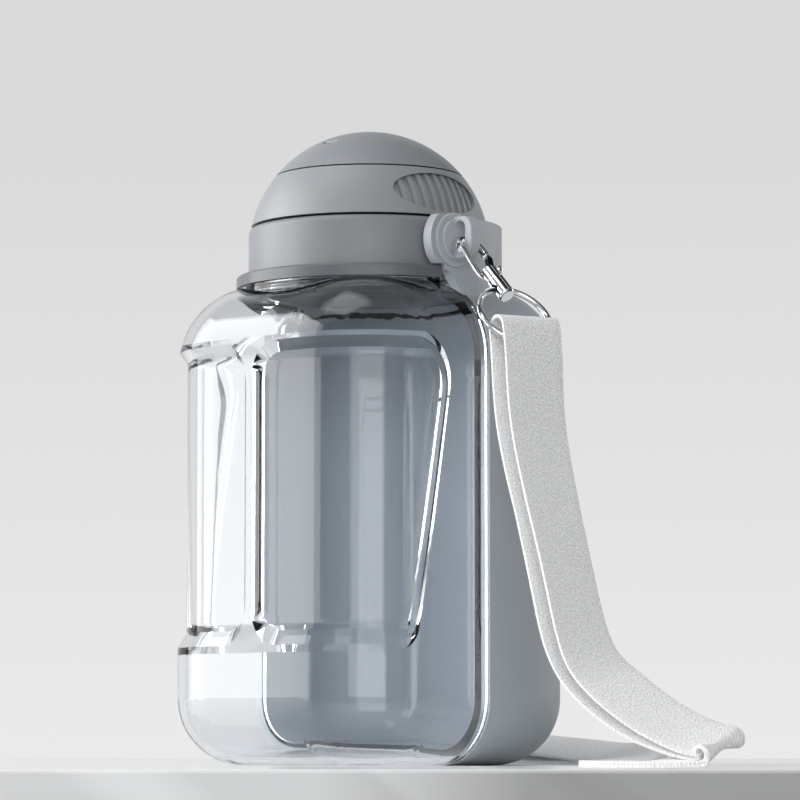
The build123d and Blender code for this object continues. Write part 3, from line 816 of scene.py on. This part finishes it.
@dataclass
class Stage:
    """Table, backdrop and lights. All lengths are in metres."""

    table_front: float = 0.152
    table_depth: float = 0.42
    table_width: float = 1.6
    table_thickness: float = 0.2
    edge_round: float = 0.0012
    top_tone: float = 0.78
    # Painted shade on the table's front face: tones falling from left to right, and soft slanting
    # bands of painted shadow.
    face_painted_shade_tones: Profile = ((-0.015, 0.86), (0.045, 0.37))
    shadow_patch_slant: float = 1.3
    shadow_patch_pitch: float = 17.0
    # Painted shade on the glowing wall: its glow from the bottom to the top.
    wall_glow_painted_shade_tones: Profile = ((0.0, 0.825), (0.45, 0.70))
    room_colour: Colour = (0.80, 0.82, 0.84)
    room_strength: float = 0.5

    def table_finish(self) -> bpy.types.Material:
        """Pale smooth top, and a front face with painted shade: it darkens to the right, broken by
        soft slanting bands of painted shadow.
        """
        material = bpy.data.materials.new("table_tone_painted_shade")
        material.use_nodes = True
        tree, links = material.node_tree, material.node_tree.links
        shader = tree.nodes["Principled BSDF"]
        shader.inputs["Roughness"].default_value = 0.24
        place = add_node(tree, "TexCoord")
        turned = add_node(tree, "Mapping", Rotation=(0.0, 0.0, -VIEW_TURN))
        split = add_node(tree, "SeparateXYZ")
        links.new(place.outputs["Object"], turned.inputs["Vector"])
        links.new(turned.outputs["Vector"], split.inputs["Vector"])
        # Painted shade: the front face's tone falls from left to right.
        (left, left_tone), (right, right_tone) = self.face_painted_shade_tones
        face_painted_falloff = add_node(tree, "MapRange", From_Min=left, From_Max=right,
                        To_Min=left_tone, To_Max=right_tone)
        links.new(split.outputs["X"], face_painted_falloff.inputs["Value"])
        # Painted shadow: soft slanting bands that lighten and darken the face by about a tenth.
        slant = add_node(tree, "Math")
        slant.operation = "MULTIPLY_ADD"
        slant.inputs[1].default_value = self.shadow_patch_slant
        links.new(split.outputs["Z"], slant.inputs[0])
        links.new(split.outputs["X"], slant.inputs[2])
        painted_shadow_patches = add_node(tree, "TexNoise", Detail=0.0)
        painted_shadow_patches.noise_dimensions = "1D"
        painted_shadow_patches.inputs["Scale"].default_value = self.shadow_patch_pitch
        links.new(slant.outputs["Value"], painted_shadow_patches.inputs["W"])
        edge = add_node(tree, "MapRange", From_Min=0.46, From_Max=0.54, To_Min=0.9, To_Max=1.06)
        links.new(painted_shadow_patches.outputs["Fac"], edge.inputs["Value"])
        face = add_node(tree, "Math")
        face.operation = "MULTIPLY"
        links.new(face_painted_falloff.outputs["Result"], face.inputs[0])
        links.new(edge.outputs["Result"], face.inputs[1])
        # The top keeps its even tone, and the face, told apart by its normal, carries the painted
        # shade.
        normal = add_node(tree, "NewGeometry")
        upward = add_node(tree, "SeparateXYZ")
        links.new(normal.outputs["Normal"], upward.inputs["Vector"])
        tone = add_node(tree, "Mix", B=self.top_tone)
        links.new(upward.outputs["Z"], tone.inputs["Factor"])
        links.new(face.outputs["Value"], tone.inputs["A"])
        links.new(tone.outputs["Result"], shader.inputs["Base Color"])
        return material

    def table(self) -> None:
        """Slab that the bottle stands on, with its front edge under the camera's view."""
        bpy.ops.object.select_all(action="DESELECT")
        bpy.ops.mesh.primitive_cube_add(size=1.0)
        slab = bpy.context.object
        slab.name = "stage_table"
        middle = (self.table_front - self.table_depth) / 2
        size = (self.table_width, self.table_front + self.table_depth, self.table_thickness)
        slab.data.transform(Matrix.Rotation(VIEW_TURN, 4, "Z")
                            @ Matrix.Translation((0.0, -middle, -self.table_thickness / 2))
                            @ Matrix.Diagonal((*size, 1.0)))
        bevel = slab.modifiers.new("edge", "BEVEL")
        bevel.width = self.edge_round
        bevel.segments = 3
        bpy.ops.object.modifier_apply(modifier="edge")
        slab.data.materials.append(self.table_finish())

    def backdrop(self) -> None:
        """Pale glowing wall far behind, with painted shade that makes it a little darker at the
        top.
        """
        bpy.ops.object.select_all(action="DESELECT")
        bpy.ops.mesh.primitive_plane_add(size=1.0)
        wall = bpy.context.object
        wall.name = "stage_wall"
        wall.data.transform(Matrix.Rotation(VIEW_TURN, 4, "Z")
                            @ Matrix.Translation((0.0, 1.6, 0.4))
                            @ Matrix.Rotation(math.radians(90), 4, "X")
                            @ Matrix.Diagonal((4.0, 2.4, 1.0, 1.0)))
        material = bpy.data.materials.new("wall_glow_painted_shade")
        material.use_nodes = True
        tree, links = material.node_tree, material.node_tree.links
        tree.nodes.remove(tree.nodes["Principled BSDF"])
        place = add_node(tree, "TexCoord")
        split = add_node(tree, "SeparateXYZ")
        # Painted shade: the wall's glow falls off towards the top.
        (low, low_tone), (high, high_tone) = self.wall_glow_painted_shade_tones
        ramp = add_node(tree, "MapRange", From_Min=low, From_Max=high,
                        To_Min=low_tone, To_Max=high_tone)
        glow = add_node(tree, "Emission")
        links.new(place.outputs["Object"], split.inputs["Vector"])
        links.new(split.outputs["Z"], ramp.inputs["Value"])
        links.new(ramp.outputs["Result"], glow.inputs["Strength"])
        links.new(glow.outputs["Emission"], tree.nodes["Material Output"].inputs["Surface"])
        wall.data.materials.append(material)

    def world(self) -> None:
        """Even grey surroundings."""
        world = bpy.data.worlds.new("room")
        bpy.context.scene.world = world
        world.use_nodes = True
        background = world.node_tree.nodes["Background"]
        background.inputs["Color"].default_value = (*self.room_colour, 1.0)
        background.inputs["Strength"].default_value = self.room_strength

    def lamp(self, name: str, side: float, depth: float, height: float, size: tuple[float, float],
             power: float, aim: tuple[float, float, float] = (0.0, 0.0, 0.1)) -> None:
        """One soft area light, placed by the camera's view.

        Args:
            name: Object name.
            side: Metres to the right of the bottle.
            depth: Metres away from the camera, past the bottle.
            height: Metres above the table.
            size: Width and height of the light.
            power: Watts.
            aim: Point it faces.
        """
        data = bpy.data.lights.new(name, "AREA")
        data.shape = "RECTANGLE"
        data.size, data.size_y = size
        data.energy = power
        lamp = bpy.data.objects.new(name, data)
        bpy.context.collection.objects.link(lamp)
        spot = Vector((DIAGONAL * (side - depth), DIAGONAL * (side + depth), height))
        lamp.location = spot
        lamp.rotation_euler = (Vector(aim) - spot).to_track_quat("-Z", "Y").to_euler()

    def card(self, name: str, side: float, depth: float, height: float, size: tuple[float, float],
             turn: float, lean: float) -> None:
        """Black card outside the view, which gives the plated metal its dark reflections.

        Args:
            name: Object name.
            side: Metres to the right of the bottle.
            depth: Metres away from the camera, past the bottle.
            height: Metres above the table.
            size: Width and height of the card.
            turn: Degrees that the card is turned round from square to the view.
            lean: Degrees that its top leans towards the camera.
        """
        bpy.ops.object.select_all(action="DESELECT")
        bpy.ops.mesh.primitive_plane_add(size=1.0)
        sheet = bpy.context.object
        sheet.name = name
        sheet.data.transform(Matrix.Rotation(VIEW_TURN, 4, "Z")
                             @ Matrix.Translation((side, depth, height))
                             @ Matrix.Rotation(math.radians(turn), 4, "Z")
                             @ Matrix.Rotation(math.radians(90 + lean), 4, "X")
                             @ Matrix.Diagonal((*size, 1.0, 1.0)))
        material = bpy.data.materials.new(name)
        material.use_nodes = True
        shader = material.node_tree.nodes["Principled BSDF"]
        shader.inputs["Base Color"].default_value = (0.01, 0.01, 0.012, 1.0)
        shader.inputs["Roughness"].default_value = 0.9
        sheet.data.materials.append(material)

    def build(self) -> None:
        """Makes the whole stage."""
        self.table()
        self.backdrop()
        self.world()
        self.lamp("key_left", -1.0, 0.05, 0.36, (1.1, 1.1), 16.0)
        self.lamp("front_fill", 0.05, -1.6, 0.45, (1.3, 0.9), 9.0)
        self.lamp("top_soft", -0.3, -0.2, 1.1, (0.6, 0.6), 2.2)
        self.lamp("rim_right", 0.95, 0.55, 0.5, (0.25, 0.9), 2.0)
        self.card("stage_card_right", 0.62, -0.42, 0.2, (0.4, 0.6), 50.0, 0.0)
        self.card("stage_card_high", 0.42, 0.42, 0.72, (0.55, 0.5), -45.0, 45.0)


@dataclass
class PhotoCamera:
    """Camera that gives the view of the photo, in metres, degrees and millimetres of lens."""

    lens: float = 170.47
    sensor: float = 36.0
    distance: float = 1.2083
    height: float = 0.00814
    pitch: float = 5.1218
    yaw: float = 0.4686

    def build(self) -> None:
        """Places the camera and makes it the scene's own."""
        data = bpy.data.cameras.new("photo_camera")
        data.lens = self.lens
        data.sensor_width = self.sensor
        data.clip_start = 0.05
        camera = bpy.data.objects.new("photo_camera", data)
        bpy.context.collection.objects.link(camera)
        camera.location = (DIAGONAL * self.distance, -DIAGONAL * self.distance, self.height)
        camera.rotation_euler = (math.radians(90.0 + self.pitch), 0.0,
                                 VIEW_TURN - math.radians(self.yaw))
        bpy.context.scene.camera = camera


def main() -> None:
    """Builds every sub-assembly in order."""
    logging.basicConfig(level=logging.INFO)
    bpy.context.scene.view_settings.view_transform = "Standard"
    shop = MaterialShop()
    for node, finish in NODE_FINISHES.items():
        shop.dress(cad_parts[node], finish)
    Strap().build(shop)
    for thread, finish in THREADS:
        thread.build(shop, finish)
    Stage().build()
    PhotoCamera().build()


if __name__ == "__main__":
    main()
